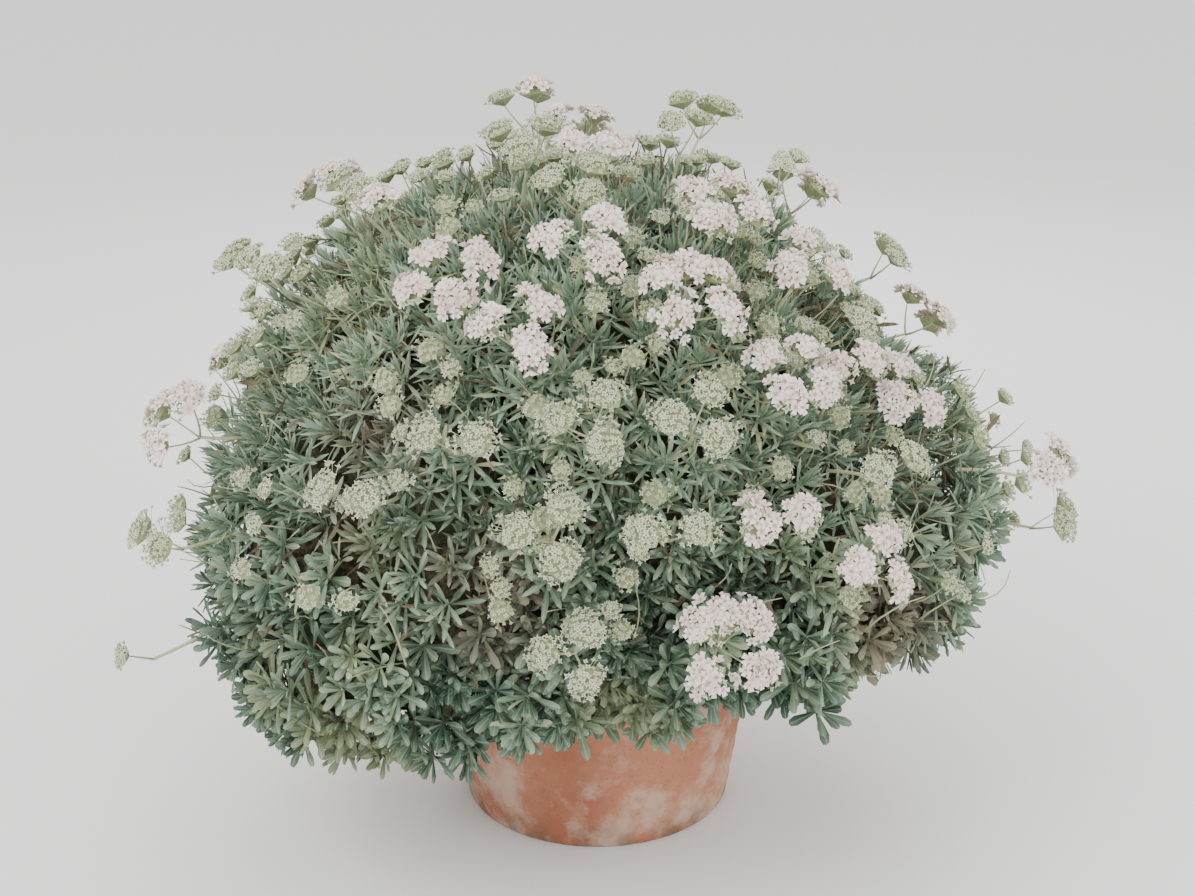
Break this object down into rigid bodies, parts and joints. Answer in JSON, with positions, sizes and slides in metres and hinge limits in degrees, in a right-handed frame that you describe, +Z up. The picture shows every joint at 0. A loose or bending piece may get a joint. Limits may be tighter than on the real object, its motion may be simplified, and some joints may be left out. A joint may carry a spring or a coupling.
{
  "type": "potted santa cruz island buckwheat",
  "caption": "Mounded evergreen shrub with grey-green leaf rosettes and flat-topped pink and green flower sprays on forked stems, growing in soil in a plain terracotta pot.",
  "frame": {"origin": "centre of the pot's flat base", "axes": "+Z up, -Y towards the front of the mound"},
  "size_m": [1.1824, 1.0543, 0.982],
  "materials": {
    "pot": "unglazed weathered terracotta",
    "soil": "loose dark potting soil",
    "bark": "shredding grey-brown bark",
    "foliage": "felted grey-green leaves",
    "bloom": "matt pink-white florets",
    "green_bloom": "matt cream-green florets"
  },
  "bodies": {
    "root": {"bloom_spray_01": "bloom", "bloom_spray_02": "bloom", "bloom_spray_03": "bloom", "bloom_spray_04": "bloom", "bloom_spray_05": "bloom", "bloom_spray_06": "bloom", "bloom_spray_07": "bloom", "bloom_spray_08": "bloom", "bloom_spray_09": "bloom", "bloom_spray_10": "bloom", "bloom_spray_11": "bloom", "bloom_spray_12": "bloom", "bloom_spray_13": "bloom", "bloom_spray_14": "bloom", "bloom_spray_15": "bloom", "bloom_spray_16": "bloom", "bloom_spray_17": "bloom", "bloom_spray_18": "bloom", "bloom_spray_19": "bloom", "bloom_spray_20": "bloom", "bloom_spray_21": "bloom", "bloom_spray_22": "bloom", "bloom_spray_23": "bloom", "bloom_spray_24": "bloom", "bloom_spray_25": "bloom", "green_spray_01": "green_bloom", "green_spray_02": "green_bloom", "green_spray_03": "green_bloom", "green_spray_04": "green_bloom", "green_spray_05": "green_bloom", "green_spray_06": "green_bloom", "green_spray_07": "green_bloom", "green_spray_08": "green_bloom", "green_spray_09": "green_bloom", "green_spray_10": "green_bloom", "green_spray_11": "green_bloom", "green_spray_12": "green_bloom", "leafy_branch_01": "foliage", "leafy_branch_02": "foliage", "leafy_branch_03": "foliage", "leafy_branch_04": "foliage", "leafy_branch_05": "foliage", "leafy_branch_06": "foliage", "leafy_branch_07": "foliage", "leafy_branch_08": "foliage", "leafy_branch_09": "foliage", "leafy_branch_10": "foliage", "leafy_branch_11": "foliage", "leafy_branch_12": "foliage", "leafy_branch_13": "foliage", "leafy_branch_14": "foliage", "leafy_branch_15": "foliage", "leafy_branch_16": "foliage", "leafy_branch_17": "foliage", "leafy_branch_18": "foliage", "leafy_branch_19": "foliage", "leafy_branch_20": "foliage", "pot": "pot", "soil": "soil", "trunk_and_limbs": "bark"}
  },
  "joints": []
}
